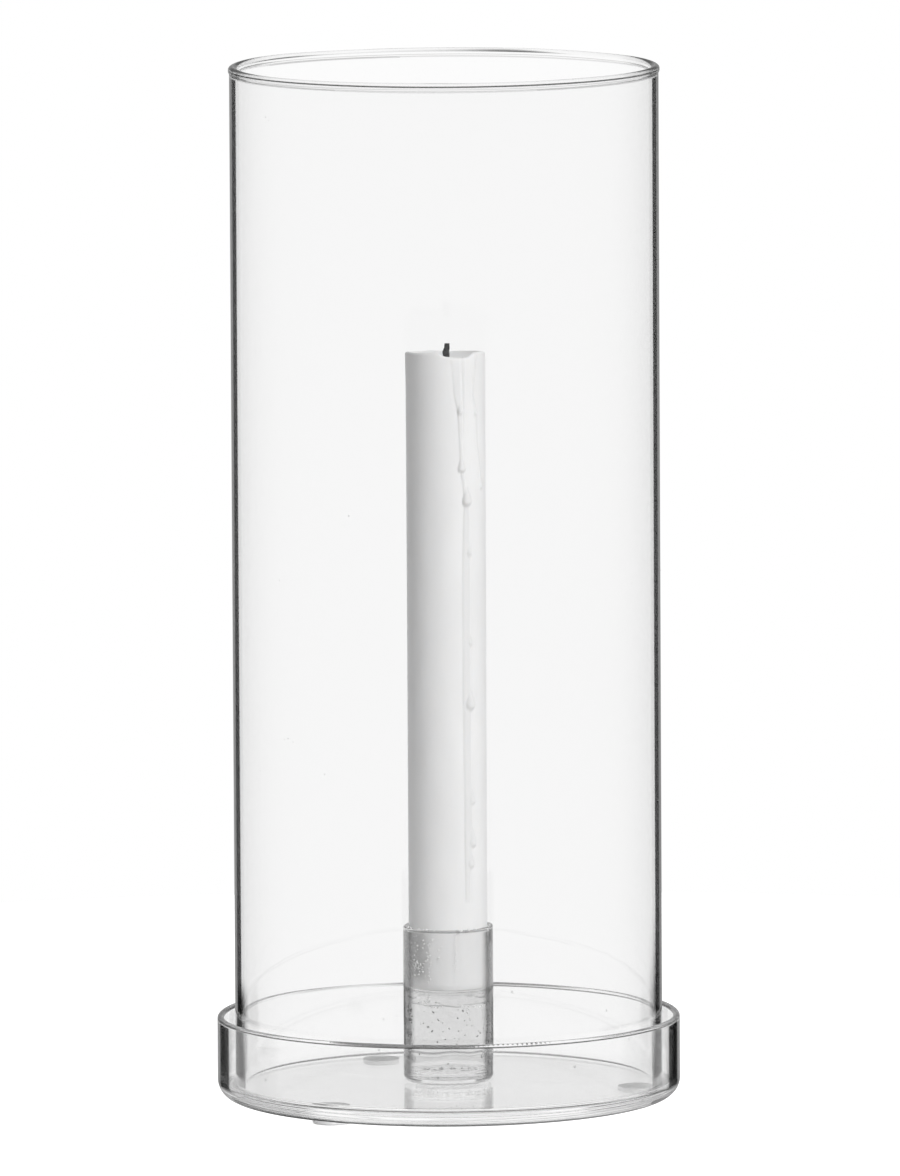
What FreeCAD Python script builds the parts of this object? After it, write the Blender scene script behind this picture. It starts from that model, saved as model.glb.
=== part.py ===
import FreeCAD, Part
import math
import os

# Hurricane candle lantern: an open glass chimney that stands loose in a shallow glass dish,
# with a candle cup bonded to the dish floor and a burnt dinner candle in the cup.
# Millimetres, +Z up, origin on the table under the middle of the dish. -Y is the front.

# Driving dimensions of the glass chimney
chimney_outer_diameter = 120.0
chimney_wall = 2.0
chimney_height = 286.5
chimney_foot_round = 0.6

# Driving dimensions of the dish
dish_side_clearance = 3.0
dish_seat_margin = 0.3
dish_wall = 2.0
dish_floor = 4.3
dish_depth = 19.2

# Driving dimensions of the soft pads under the dish
pad_diameter = 11.0
pad_height = 1.5
pad_edge_round = 0.7
pad_margin = 1.2
pad_first_angle = 112.0
pad_names = ("foot_pad_rear_left", "foot_pad_front_left", "foot_pad_right")

# Driving dimensions of the candle and of what burning did to its top
candle_diameter = 22.2
candle_length = 179.5
candle_foot_chamfer = 0.6
candle_shoulder_round = 0.5
melt_hollow_depth = 3.2
melt_hollow_lip = 1.1
pour_lip_width = 11.7
pour_lip_depth = 1.8
pour_lip_offset = 1.8

# Driving dimensions of the cup that holds the candle
cup_candle_clearance = 0.4
cup_wall = 1.2
cup_floor = 3.0
cup_height = 44.0
cup_inner_round = 2.0
cup_bond_thickness = 0.2
candle_seat_height = 23.6

# Driving dimensions of the old wax that the candle's foot stands on
wax_ring_land = 2.2
wax_ring_height = 4.0
wax_ring_edge = 1.0
wax_ring_hollow = 0.5
wax_ring_clearance = 0.05

# Driving dimensions of the wick
wick_diameter = 1.6
wick_bore_clearance = 0.05
wick_stand = 5.3
wick_lean = 0.5
wick_head_diameter = 1.9
wick_tip_diameter = 1.2

# Charred end of the wick. A station gives its share of the standing length, its share of the
# lean, and the diameter there.
charred_stations = (
    (0.0, 0.0, wick_diameter),
    (0.4, 0.1, wick_diameter),
    (0.8, 0.6, wick_head_diameter),
    (1.0, 1.0, wick_tip_diameter),
)

# Wax runs down the candle. A point of a trickle gives the turn from the front towards the right
# in degrees, and the share of the way from the candle's rim to the cup's rim. A bead on it
# gives the same, then its radius and how many radii its tail reaches above its middle.
# An axis lies under the candle's surface by a share of the radius, so a bead stands out
# further than its trickle, and a trickle's ends dive under the surface.
wax_sink_share = 0.4
trickle_radius = 0.55
trickle_end_radius = 0.3
trickle_end_dive = 0.7
trickle_end_reach = 0.9
front_trickle = (
    (14.0, 0.020),
    (16.0, 0.050),
    (20.5, 0.106),
    (22.0, 0.175),
    (23.0, 0.204),
    (31.5, 0.265),
    (34.0, 0.353),
    (36.0, 0.490),
    (37.0, 0.617),
    (35.0, 0.715),
    (33.0, 0.945),
)
front_beads = (
    (20.5, 0.106, 1.05, 2.6),
    (23.0, 0.204, 0.85, 3.0),
    (31.5, 0.265, 1.35, 2.4),
    (34.0, 0.353, 0.95, 3.0),
    (37.0, 0.617, 1.20, 3.2),
    (33.3, 0.930, 1.30, 22.0),
)
side_trickle = (
    (49.0, 0.012),
    (43.5, 0.065),
    (48.5, 0.105),
    (54.0, 0.170),
    (59.5, 0.235),
)
side_beads = (
    (48.5, 0.105, 0.80, 3.0),
    (59.3, 0.230, 0.90, 2.8),
)

# Radii worked out from the driving dimensions
chimney_radius = chimney_outer_diameter / 2
dish_inner_radius = chimney_radius + dish_side_clearance
dish_outer_radius = dish_inner_radius + dish_wall
dish_inner_fillet = dish_side_clearance + chimney_foot_round - dish_seat_margin
dish_corner_round = dish_inner_fillet + dish_wall
pad_radius = pad_diameter / 2
pad_circle_radius = dish_outer_radius - dish_corner_round - pad_margin - pad_radius
candle_radius = candle_diameter / 2
cup_bore_radius = candle_radius + cup_candle_clearance
cup_outer_radius = cup_bore_radius + cup_wall
cup_corner_round = cup_inner_round + cup_wall
wick_radius = wick_diameter / 2
wick_bore_radius = wick_radius + wick_bore_clearance

# Heights above the table
dish_bottom_z = pad_height
dish_floor_z = dish_bottom_z + dish_floor
dish_rim_z = dish_floor_z + dish_depth
chimney_rim_z = dish_floor_z + chimney_height
cup_bottom_z = dish_floor_z + cup_bond_thickness
cup_floor_z = cup_bottom_z + cup_floor
cup_rim_z = cup_bottom_z + cup_height
candle_foot_z = cup_floor_z + candle_seat_height
candle_rim_z = candle_foot_z + candle_length
melt_floor_z = candle_rim_z - melt_hollow_depth


class Section:
    """A half section in the XZ plane, drawn edge by edge and then turned about the Z axis."""

    def __init__(self, radius, height):
        self.start = FreeCAD.Vector(radius, 0, height)
        self.here = self.start
        self.edges = []

    def line(self, radius, height):
        end = FreeCAD.Vector(radius, 0, height)
        self.edges.append(Part.LineSegment(self.here, end).toShape())
        self.here = end

    def arc_through(self, middle, end):
        self.edges.append(Part.Arc(self.here, middle, end).toShape())
        self.here = end

    def arc_about(self, centre_radius, centre_height, degrees):
        """A round about a centre, anticlockwise for a positive turn."""
        centre = FreeCAD.Vector(centre_radius, 0, centre_height)
        spoke = self.here - centre
        axis = FreeCAD.Vector(0, -1, 0)
        half_turn = FreeCAD.Rotation(axis, degrees / 2)
        full_turn = FreeCAD.Rotation(axis, degrees)
        self.arc_through(centre + half_turn.multVec(spoke), centre + full_turn.multVec(spoke))

    def turned(self):
        self.line(self.start.x, self.start.z)
        face = Part.Face(Part.Wire(self.edges))
        return face.revolve(FreeCAD.Vector(0, 0, 0), FreeCAD.Vector(0, 0, 1), 360)


def cap_radius(width, depth):
    """Radius of the circle whose cap has this width and depth."""
    return (width ** 2 / 4 + depth ** 2) / (2 * depth)


def circle_at(x, y, z, radius):
    return Part.Wire(Part.makeCircle(radius, FreeCAD.Vector(x, y, z)))


def make_base_dish():
    """Flat floor, straight wall with a rounded corner inside and out, and a full-round rim."""
    rim_round = dish_wall / 2
    corner_centre = dish_outer_radius - dish_corner_round
    section = Section(0, dish_bottom_z)
    section.line(corner_centre, dish_bottom_z)
    section.arc_about(corner_centre, dish_bottom_z + dish_corner_round, 90)
    section.line(dish_outer_radius, dish_rim_z - rim_round)
    section.arc_about(dish_outer_radius - rim_round, dish_rim_z - rim_round, 180)
    section.line(dish_inner_radius, dish_floor_z + dish_inner_fillet)
    section.arc_about(corner_centre, dish_floor_z + dish_inner_fillet, -90)
    section.line(0, dish_floor_z)
    return section.turned()


def make_chimney():
    """Straight tube with a full-round rim above and a narrow flat foot between rounds below."""
    inner_radius = chimney_radius - chimney_wall
    rim_round = chimney_wall / 2
    foot_round_z = dish_floor_z + chimney_foot_round
    section = Section(inner_radius, foot_round_z)
    section.arc_about(inner_radius + chimney_foot_round, foot_round_z, 90)
    section.line(chimney_radius - chimney_foot_round, dish_floor_z)
    section.arc_about(chimney_radius - chimney_foot_round, foot_round_z, 90)
    section.line(chimney_radius, chimney_rim_z - rim_round)
    section.arc_about(chimney_radius - rim_round, chimney_rim_z - rim_round, 180)
    return section.turned()


def make_candle_cup():
    """Small straight cup with a thick floor, a well rounded bottom corner and a full-round rim."""
    rim_round = cup_wall / 2
    corner_centre = cup_outer_radius - cup_corner_round
    section = Section(0, cup_bottom_z)
    section.line(corner_centre, cup_bottom_z)
    section.arc_about(corner_centre, cup_bottom_z + cup_corner_round, 90)
    section.line(cup_outer_radius, cup_rim_z - rim_round)
    section.arc_about(cup_outer_radius - rim_round, cup_rim_z - rim_round, 180)
    section.line(cup_bore_radius, cup_floor_z + cup_inner_round)
    section.arc_about(corner_centre, cup_floor_z + cup_inner_round, -90)
    section.line(0, cup_floor_z)
    return section.turned()


def make_cup_bond():
    """Clear film of adhesive over the flat of the cup's underside."""
    film_radius = cup_outer_radius - cup_corner_round
    return Part.makeCylinder(film_radius, cup_bond_thickness, FreeCAD.Vector(0, 0, dish_floor_z))


def make_wax_ring():
    """Old wax set round the cup's bore: a flat land for the candle's foot over a hollow slope."""
    outer_radius = cup_bore_radius - wax_ring_clearance
    inner_radius = outer_radius - wax_ring_land
    low = FreeCAD.Vector(outer_radius, 0, candle_foot_z - wax_ring_height)
    edge = FreeCAD.Vector(inner_radius, 0, candle_foot_z - wax_ring_edge)
    across = FreeCAD.Vector(outer_radius - inner_radius, 0, wax_ring_height - wax_ring_edge)
    slope_middle = (low + edge) / 2 + across.normalize() * wax_ring_hollow
    section = Section(edge.x, edge.z)
    section.arc_through(slope_middle, low)
    section.line(outer_radius, candle_foot_z)
    section.line(inner_radius, candle_foot_z)
    return section.turned()


def make_foot_pad(index):
    """Soft round pad stuck under the dish, with a flat sole inside a rounded edge."""
    section = Section(0, 0)
    section.line(pad_radius - pad_edge_round, 0)
    section.arc_about(pad_radius - pad_edge_round, pad_edge_round, 90)
    section.line(pad_radius, pad_height)
    section.line(0, pad_height)
    pad = section.turned()
    angle = math.radians(pad_first_angle + index * 360 / len(pad_names))
    pad.translate(FreeCAD.Vector(math.cos(angle), math.sin(angle), 0) * pad_circle_radius)
    return pad


def make_candle_body():
    """Turned candle: chamfered foot, wick bore, rounded shoulder and the melted hollow on top."""
    hollow_radius = cap_radius(2 * (candle_radius - melt_hollow_lip), melt_hollow_depth)
    hollow_centre_z = melt_floor_z + hollow_radius
    hollow_edge = FreeCAD.Vector(candle_radius - melt_hollow_lip, 0, candle_rim_z)
    bore_top_z = hollow_centre_z - math.sqrt(hollow_radius ** 2 - wick_bore_radius ** 2)
    edge_angle = math.degrees(math.atan2(hollow_edge.z - hollow_centre_z, hollow_edge.x))
    bore_angle = math.degrees(math.atan2(bore_top_z - hollow_centre_z, wick_bore_radius))
    section = Section(wick_bore_radius, candle_foot_z)
    section.line(candle_radius - candle_foot_chamfer, candle_foot_z)
    section.line(candle_radius, candle_foot_z + candle_foot_chamfer)
    section.line(candle_radius, candle_rim_z - candle_shoulder_round)
    section.arc_about(candle_radius - candle_shoulder_round,
                      candle_rim_z - candle_shoulder_round, 90)
    section.line(hollow_edge.x, hollow_edge.z)
    section.arc_about(0, hollow_centre_z, bore_angle - edge_angle)
    return section.turned()


def make_pour_lip():
    """Round gutter that hot wax melted through the front of the rim."""
    gutter_radius = cap_radius(pour_lip_width, pour_lip_depth)
    front = FreeCAD.Vector(pour_lip_offset, -2 * candle_radius,
                           candle_rim_z - pour_lip_depth + gutter_radius)
    return Part.makeCylinder(gutter_radius, 2 * candle_radius, front, FreeCAD.Vector(0, 1, 0))


def wax_place(turn, share, radius, dive=0, shift=0):
    """Middle of a round of wax on the candle's side."""
    angle = math.radians(turn)
    reach = candle_radius - wax_sink_share * radius - dive
    height = candle_rim_z - share * (candle_rim_z - cup_rim_z) + shift
    return FreeCAD.Vector(reach * math.sin(angle), -reach * math.cos(angle), height)


def make_trickle(points):
    """Thin run of wax through its points, with both ends under the candle's surface."""

    def ring(place, radius):
        return circle_at(place.x, place.y, place.z, radius)

    above = wax_place(*points[0], trickle_radius, trickle_end_dive, trickle_end_reach)
    below = wax_place(*points[-1], trickle_radius, trickle_end_dive, -trickle_end_reach)
    rings = [ring(above, trickle_end_radius)]
    rings += [ring(wax_place(*point, trickle_radius), trickle_radius) for point in points]
    rings.append(ring(below, trickle_end_radius))
    return Part.makeLoft(rings, True, True)


def make_bead(turn, share, radius, tail):
    """Drop of wax that set on its way down: a ball below, drawn out to a tail above."""
    rise = math.degrees(math.asin(1 / tail))
    section = Section(0, -radius)
    section.arc_about(0, 0, 90 + rise)
    section.line(0, tail * radius)
    bead = section.turned()
    bead.translate(wax_place(turn, share, radius))
    return bead


def make_candle():
    candle = make_candle_body().cut(make_pour_lip())
    runs = [make_trickle(front_trickle), make_trickle(side_trickle)]
    runs += [make_bead(*bead) for bead in front_beads + side_beads]
    return candle.fuse(runs).removeSplitter()


def make_wick():
    """Wick down the whole candle, with a charred end that thickens, leans and comes to a stub."""
    straight = Part.makeCylinder(wick_radius, melt_floor_z - candle_foot_z,
                                 FreeCAD.Vector(0, 0, candle_foot_z))
    rings = [circle_at(lean * wick_lean, 0, melt_floor_z + rise * wick_stand, diameter / 2)
             for rise, lean, diameter in charred_stations]
    charred = Part.makeLoft(rings, True, False)
    return straight.fuse(charred).removeSplitter()


def main():
    parts = {
        "base_dish": make_base_dish(),
        "chimney": make_chimney(),
        "candle_cup": make_candle_cup(),
        "cup_bond": make_cup_bond(),
        "wax_ring": make_wax_ring(),
        "candle": make_candle(),
        "wick": make_wick(),
    }
    for index, name in enumerate(pad_names):
        parts[name] = make_foot_pad(index)
    os.makedirs("parts", exist_ok=True)
    for name, shape in parts.items():
        print(name, "solids", len(shape.Solids), "valid", shape.isValid(),
              "volume", round(shape.Volume, 1))
        shape.exportStep("parts/" + name + ".step")


main()
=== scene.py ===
import bpy
import math
import random
from collections import namedtuple
import numpy as np
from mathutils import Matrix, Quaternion, Vector


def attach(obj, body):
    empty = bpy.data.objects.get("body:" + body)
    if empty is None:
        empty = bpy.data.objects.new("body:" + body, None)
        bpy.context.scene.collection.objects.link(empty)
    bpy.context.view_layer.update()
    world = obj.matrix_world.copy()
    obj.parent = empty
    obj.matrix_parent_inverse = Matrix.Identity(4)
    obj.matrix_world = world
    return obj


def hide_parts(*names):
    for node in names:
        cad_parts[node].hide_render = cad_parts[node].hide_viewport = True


# Hurricane candle lantern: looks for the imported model. Sizes in this script are millimetres in the
# frame of the part, +Z up, -Y the front. A turn is counted from the front towards the right.
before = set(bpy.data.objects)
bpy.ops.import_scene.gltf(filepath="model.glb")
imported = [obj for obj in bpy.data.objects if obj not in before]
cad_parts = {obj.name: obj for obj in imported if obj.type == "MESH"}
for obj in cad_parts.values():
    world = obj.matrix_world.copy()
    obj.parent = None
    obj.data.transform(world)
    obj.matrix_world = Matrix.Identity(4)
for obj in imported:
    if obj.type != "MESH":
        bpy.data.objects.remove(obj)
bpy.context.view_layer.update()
scene = bpy.context.scene
MM = 0.001

# Glass chimney
chimney_radius = 60.0
chimney_wall = 2.0
chimney_foot_z = 5.83
chimney_rim_z = 292.3
chimney_foot_round = 0.6
rim_bead = 0.30

# Glass dish. Its underside takes in the tops of the pads by a hair, as wetted silicone does.
dish_radius = 65.0
dish_wall = 2.0
dish_bottom_z = 1.48
dish_floor_z = 5.81
dish_rim_z = 25.0
dish_corner = 5.3
dish_inner_fillet = 1.5

# Candle cup
cup_radius = 12.7
cup_wall = 1.2
cup_bottom_z = 5.99
cup_floor_z = 9.0
cup_rim_z = 50.0
cup_corner = 2.0
cup_inner_fillet = 1.3
cup_bore = cup_radius - cup_wall

# Candle and wick
candle_radius = 11.1
candle_foot_z = 32.6
candle_rim_z = 212.1
candle_chamfer = 0.6
hollow_radius = 10.0
hollow_floor_z = 208.9
wick_radius = 0.8
wick_top_z = 214.2
wick_lean = 0.5

# Old wax under the candle's foot
ring_radius = 11.45
ring_low_z = 28.6

# Ribbons of wax down the candle: turn, height, half width and thickness at each point, from the
# bottom up.
front_ribbon = (
    (30.5, 57.6, 0.85, 0.26),
    (30.5, 65.5, 0.90, 0.30),
    (32.0, 75.0, 1.35, 0.36),
    (31.5, 87.0, 1.30, 0.32),
    (30.5, 100.0, 1.25, 0.28),
    (30.2, 113.0, 1.35, 0.32),
    (30.0, 131.0, 1.30, 0.28),
    (29.8, 150.0, 1.30, 0.28),
    (30.0, 163.0, 1.05, 0.30),
    (30.6, 170.5, 0.80, 0.34),
    (26.5, 175.5, 0.42, 0.26),
    (23.5, 180.0, 0.60, 0.30),
    (21.5, 188.0, 0.42, 0.22),
    (20.5, 196.0, 0.70, 0.34),
    (17.5, 201.0, 1.15, 0.22),
    (16.5, 206.0, 1.30, 0.18),
    (15.5, 211.5, 1.60, 0.12),
)
side_ribbon = (
    (61.5, 173.5, 0.40, 0.22),
    (58.0, 180.0, 0.36, 0.18),
    (50.5, 187.5, 0.36, 0.20),
    (50.0, 195.0, 0.42, 0.26),
    (43.5, 200.5, 0.36, 0.22),
    (45.0, 205.0, 0.40, 0.22),
    (49.5, 211.8, 0.60, 0.16),
)
lip_ribbon = (
    (27.5, 190.0, 0.30, 0.10),
    (27.5, 200.0, 0.36, 0.20),
    (27.0, 206.0, 0.40, 0.22),
    (26.0, 211.5, 0.80, 0.14),
)
ribbons = (front_ribbon, side_ribbon, lip_ribbon)

# Drops that set on the way down: turn, height, half width, thickness and length of the tail.
wax_drops = (
    (21.2, 196.1, 0.95, 1.00, 3.0),
    (23.0, 180.1, 1.15, 1.00, 3.4),
    (31.2, 170.8, 1.50, 1.35, 4.4),
    (35.0, 156.2, 0.95, 0.85, 3.0),
    (36.4, 130.7, 0.75, 0.70, 2.6),
    (35.9, 113.4, 1.60, 1.30, 4.6),
    (38.5, 86.2, 1.10, 0.80, 4.0),
    (39.0, 74.3, 1.30, 0.90, 5.0),
    (36.0, 68.4, 1.20, 0.80, 4.0),
    (48.5, 195.2, 0.75, 0.70, 2.6),
    (61.3, 174.3, 0.80, 0.70, 3.0),
    (-64.0, 205.2, 0.55, 0.35, 3.0),
    (128.0, 188.0, 1.10, 0.80, 7.0),
    (141.0, 161.0, 1.30, 0.90, 9.0),
    (-146.0, 197.0, 0.90, 0.65, 6.0),
)


def smooth_step(low, high, value):
    share = np.clip((value - low) / (high - low), 0.0, 1.0)
    return share * share * (3.0 - 2.0 * share)


# Mesh building


def new_piece(name, points, faces, material):
    """A smooth mesh object from points in millimetres."""
    mesh = bpy.data.meshes.new(name)
    mesh.from_pydata((np.asarray(points) * MM).tolist(), [], faces)
    mesh.shade_smooth()
    mesh.materials.append(material)
    piece = bpy.data.objects.new(name, mesh)
    scene.collection.objects.link(piece)
    return piece


def even_turns(count):
    return np.linspace(0.0, 360.0, count, endpoint=False)


def turned(section, turns, warp=None):
    """Points and faces of a section of (radius, height) pairs turned about the Z axis.

    A section that starts and ends on the axis gets a pole at each end; any other is a loop.
    warp(turn, radius, height) moves the points of the grid."""
    section = np.array(section, dtype=float)
    poles = section[0, 0] == 0.0
    ring = section[1:-1] if poles else section
    turn = np.asarray(turns, dtype=float)[:, None]
    radius = np.broadcast_to(ring[:, 0], (len(turn), len(ring))).copy()
    height = np.broadcast_to(ring[:, 1], radius.shape).copy()
    if warp:
        radius, height = warp(turn, radius, height)
    angle = np.radians(turn)
    grid = np.stack((radius * np.sin(angle), -radius * np.cos(angle), height), axis=-1)
    points = grid.reshape(-1, 3).tolist()
    faces = []
    steps = len(ring)
    last = steps - 1 if poles else steps
    for k in range(len(turn)):
        here = k * steps
        there = (k + 1) % len(turn) * steps
        for i in range(last):
            j = (i + 1) % steps
            faces.append((here + i, there + i, there + j, here + j))
    if poles:
        low = len(points)
        points.append((0.0, 0.0, section[0, 1]))
        points.append((0.0, 0.0, float(height[:, -1].mean()) if warp else section[-1, 1]))
        for k in range(len(turn)):
            here = k * steps
            there = (k + 1) % len(turn) * steps
            faces.append((low, there, here))
            faces.append((low + 1, here + steps - 1, there + steps - 1))
    return points, faces


def rounded(centre_r, centre_z, radius, start, end, steps):
    """Points of a round in a section, by angle in degrees from the outward direction."""
    angles = np.radians(np.linspace(start, end, steps + 1))
    return [(centre_r + radius * math.cos(a), centre_z + radius * math.sin(a)) for a in angles]


def straight(start, end, steps):
    """Points strictly between two points of a section."""
    return [tuple(np.array(start) + (np.array(end) - np.array(start)) * i / steps)
            for i in range(1, steps)]


def beside(point, other, reach=0.12):
    """A point close to one end of a straight, which keeps the straight's shading true."""
    way = np.array(other) - np.array(point)
    return tuple(np.array(point) + way * reach / np.linalg.norm(way))


class Unevenness:
    """Slow waves round and along a piece, the same on every run."""

    def __init__(self, seed, size, along):
        draw = random.Random(seed)
        self.waves = [(size / lobes ** 0.7, lobes, draw.uniform(-1.0, 1.0) / along,
                       draw.uniform(0.0, 2.0 * math.pi)) for lobes in (2, 3, 4, 6, 9)]

    def at(self, turn, height):
        angle = np.radians(turn)
        return sum(size * np.cos(lobes * angle + pitch * height + phase)
                   for size, lobes, pitch, phase in self.waves)


def blob(points, faces, centre, outward, size, flat, draw):
    """Adds one small lump that lies flat against a surface."""
    outward = Vector(outward).normalized()
    side = outward.orthogonal().normalized()
    up = outward.cross(side)
    around = 9
    levels = 5
    first = len(points)
    stretch = draw.uniform(0.75, 1.35)
    lumps = [draw.uniform(0.78, 1.2) for _ in range(around)]
    for level in range(1, levels):
        tilt = math.pi * level / levels
        for k in range(around):
            angle = 2.0 * math.pi * k / around
            reach = size * math.sin(tilt) * lumps[k]
            place = (side * math.cos(angle) * stretch + up * math.sin(angle) / stretch) * reach
            points.append(Vector(centre) + place + outward * size * flat * math.cos(tilt))
    top = len(points)
    points.append(Vector(centre) + outward * size * flat)
    points.append(Vector(centre) - outward * size * flat)
    for k in range(around):
        right = (k + 1) % around
        faces.append((top, first + k, first + right))
        for level in range(levels - 2):
            row = first + level * around
            faces.append((row + k, row + around + k, row + around + right, row + right))
        row = first + (levels - 2) * around
        faces.append((top + 1, row + right, row + k))


def on_wall(radius, turn, height):
    angle = math.radians(turn)
    return Vector((radius * math.sin(angle), -radius * math.cos(angle), height))


# Shader building


def add_node(tree, kind, settings=None, inputs=None):
    node = tree.nodes.new(kind)
    for name, value in (settings or {}).items():
        setattr(node, name, value)
    for name, value in (inputs or {}).items():
        node.inputs[name].default_value = value
    return node


def new_group(name, inputs, outputs):
    """An empty shader node group: inputs and outputs give (name, socket type[, default])."""
    group = bpy.data.node_groups.new(name, "ShaderNodeTree")
    for label, kind, default in inputs:
        socket = group.interface.new_socket(label, in_out="INPUT", socket_type=kind)
        socket.default_value = default
    for label, kind in outputs:
        group.interface.new_socket(label, in_out="OUTPUT", socket_type=kind)
    return group, group.nodes.new("NodeGroupInput"), group.nodes.new("NodeGroupOutput")


def place_group(tree, group, inputs):
    node = tree.nodes.new("ShaderNodeGroup")
    node.node_tree = group
    for name, value in inputs.items():
        node.inputs[name].default_value = value
    return node


def noise(tree, coords, scale, detail=2.0, roughness=0.5):
    node = add_node(tree, "ShaderNodeTexNoise", inputs={
        "Scale": scale, "Detail": detail, "Roughness": roughness})
    tree.links.new(coords, node.inputs["Vector"])
    return node.outputs["Fac"]


def span(tree, value, low, high, to_low=0.0, to_high=1.0):
    """Eases a value from one span to another, clamped."""
    node = add_node(tree, "ShaderNodeMapRange", {"interpolation_type": "SMOOTHSTEP"}, {
        "From Min": low, "From Max": high, "To Min": to_low, "To Max": to_high})
    tree.links.new(value, node.inputs["Value"])
    return node.outputs["Result"]


def math_node(tree, operation, first, second=None):
    node = add_node(tree, "ShaderNodeMath", {"operation": operation})
    for index, value in enumerate((first, second)):
        if value is None:
            continue
        if isinstance(value, (int, float)):
            node.inputs[index].default_value = value
        else:
            tree.links.new(value, node.inputs[index])
    return node.outputs["Value"]


def product(tree, *factors):
    """All the factors multiplied together."""
    result = factors[0]
    for factor in factors[1:]:
        result = math_node(tree, "MULTIPLY", result, factor)
    return result


def largest(tree, *values):
    """The largest of the values."""
    result = values[0]
    for value in values[1:]:
        result = math_node(tree, "MAXIMUM", result, value)
    return result


def between(tree, value, rise, fall, top=1.0):
    """Eases up from 0 to 1 over the span rise, and from top down to 0 over the span fall."""
    return product(tree, span(tree, value, *rise), span(tree, value, *fall, top, 0.0))


def mix_colour(tree, factor, first, second):
    node = add_node(tree, "ShaderNodeMix", {"data_type": "RGBA"})
    tree.links.new(factor, node.inputs["Factor"])
    for label, value in (("A", first), ("B", second)):
        socket = next(s for s in node.inputs if s.name == label and s.type == "RGBA")
        if isinstance(value, tuple):
            socket.default_value = value
        else:
            tree.links.new(value, socket)
    return next(s for s in node.outputs if s.type == "RGBA")


def grey(value, warmth=0.0):
    return (value * (1.0 + warmth), value, value * (1.0 - warmth), 1.0)


def object_coords(tree, stretch=(1.0, 1.0, 1.0)):
    coords = add_node(tree, "ShaderNodeTexCoord")
    mapping = add_node(tree, "ShaderNodeMapping", inputs={"Scale": stretch})
    tree.links.new(coords.outputs["Object"], mapping.inputs["Vector"])
    return mapping.outputs["Vector"]


def part_place(tree):
    """X, Y and Z of a point in the part's own frame, in metres."""
    place = add_node(tree, "ShaderNodeSeparateXYZ")
    tree.links.new(object_coords(tree), place.inputs["Vector"])
    return place.outputs["X"], place.outputs["Y"], place.outputs["Z"]


def make_handling_marks():
    """Faint smears and tiny specks, as handled glass and wax have."""
    group, entry, leave = new_group("handling_marks", (
        ("Smear Scale", "NodeSocketFloat", 30.0),
        ("Smear Amount", "NodeSocketFloat", 0.5),
        ("Speck Scale", "NodeSocketFloat", 900.0),
        ("Speck Amount", "NodeSocketFloat", 0.5),
    ), (("Smear", "NodeSocketFloat"), ("Speck", "NodeSocketFloat")))
    coords = object_coords(group, (1.0, 1.0, 0.45))
    broad = add_node(group, "ShaderNodeTexNoise", inputs={"Detail": 4.0, "Distortion": 0.8})
    group.links.new(coords, broad.inputs["Vector"])
    group.links.new(entry.outputs["Smear Scale"], broad.inputs["Scale"])
    smear = math_node(group, "MULTIPLY", span(group, broad.outputs["Fac"], 0.52, 0.74),
                      entry.outputs["Smear Amount"])
    group.links.new(smear, leave.inputs["Smear"])
    fine = add_node(group, "ShaderNodeTexVoronoi", {"feature": "F1"}, {"Randomness": 1.0})
    group.links.new(object_coords(group), fine.inputs["Vector"])
    group.links.new(entry.outputs["Speck Scale"], fine.inputs["Scale"])
    dots = span(group, fine.outputs["Distance"], 0.07, 0.16, 1.0, 0.0)
    tone = add_node(group, "ShaderNodeSeparateColor")
    group.links.new(fine.outputs["Color"], tone.inputs["Color"])
    few = span(group, tone.outputs["Red"], 0.90, 0.93)
    specks = math_node(group, "MULTIPLY", dots, few)
    group.links.new(math_node(group, "MULTIPLY", specks, entry.outputs["Speck Amount"]),
                    leave.inputs["Speck"])
    return group


def make_soft_relief():
    """Slow and fine unevenness of a surface that set from a melt."""
    group, entry, leave = new_group("soft_relief", (
        ("Slow Scale", "NodeSocketFloat", 40.0),
        ("Fine Scale", "NodeSocketFloat", 400.0),
        ("Fine Share", "NodeSocketFloat", 0.3),
    ), (("Height", "NodeSocketFloat"),))
    coords = object_coords(group)
    slow = add_node(group, "ShaderNodeTexNoise", inputs={"Detail": 1.0})
    fine = add_node(group, "ShaderNodeTexNoise", inputs={"Detail": 3.0, "Roughness": 0.6})
    for texture, label in ((slow, "Slow Scale"), (fine, "Fine Scale")):
        group.links.new(coords, texture.inputs["Vector"])
        group.links.new(entry.outputs[label], texture.inputs["Scale"])
    share = math_node(group, "MULTIPLY", fine.outputs["Fac"], entry.outputs["Fine Share"])
    group.links.new(math_node(group, "ADD", slow.outputs["Fac"], share), leave.inputs["Height"])
    return group


handling_marks = make_handling_marks()
soft_relief = make_soft_relief()


def new_material(name):
    material = bpy.data.materials.new(name)
    material.use_nodes = True
    shader = material.node_tree.nodes["Principled BSDF"]
    return material, material.node_tree, shader


def set_shader(shader, values):
    for name, value in values.items():
        shader.inputs[name].default_value = value


def add_relief(tree, shader, slow, fine, share, strength, distance):
    relief = place_group(tree, soft_relief, {
        "Slow Scale": slow, "Fine Scale": fine, "Fine Share": share})
    bump = add_node(tree, "ShaderNodeBump", inputs={"Strength": strength, "Distance": distance})
    tree.links.new(relief.outputs["Height"], bump.inputs["Height"])
    tree.links.new(bump.outputs["Normal"], shader.inputs["Normal"])


# A band of painted shade on a glass piece's outer wall, darkening it where it is seen edge on: its
# least radius, lowest and highest level, the height that its upper end fades over, the span of facing
# that it comes in over, and its tone.
PaintedShadeBand = namedtuple("PaintedShadeBand", "radius low high top_fade facing tone")

# A fine painted dark line of shade round the outside of a glass piece, in place of the dark lines that
# polished rims and corners show by
# refraction: its level, half width, tone and the least radius at which it shows.
PaintedShadeLine = namedtuple("PaintedShadeLine", "level half_width tone radius")


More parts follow.
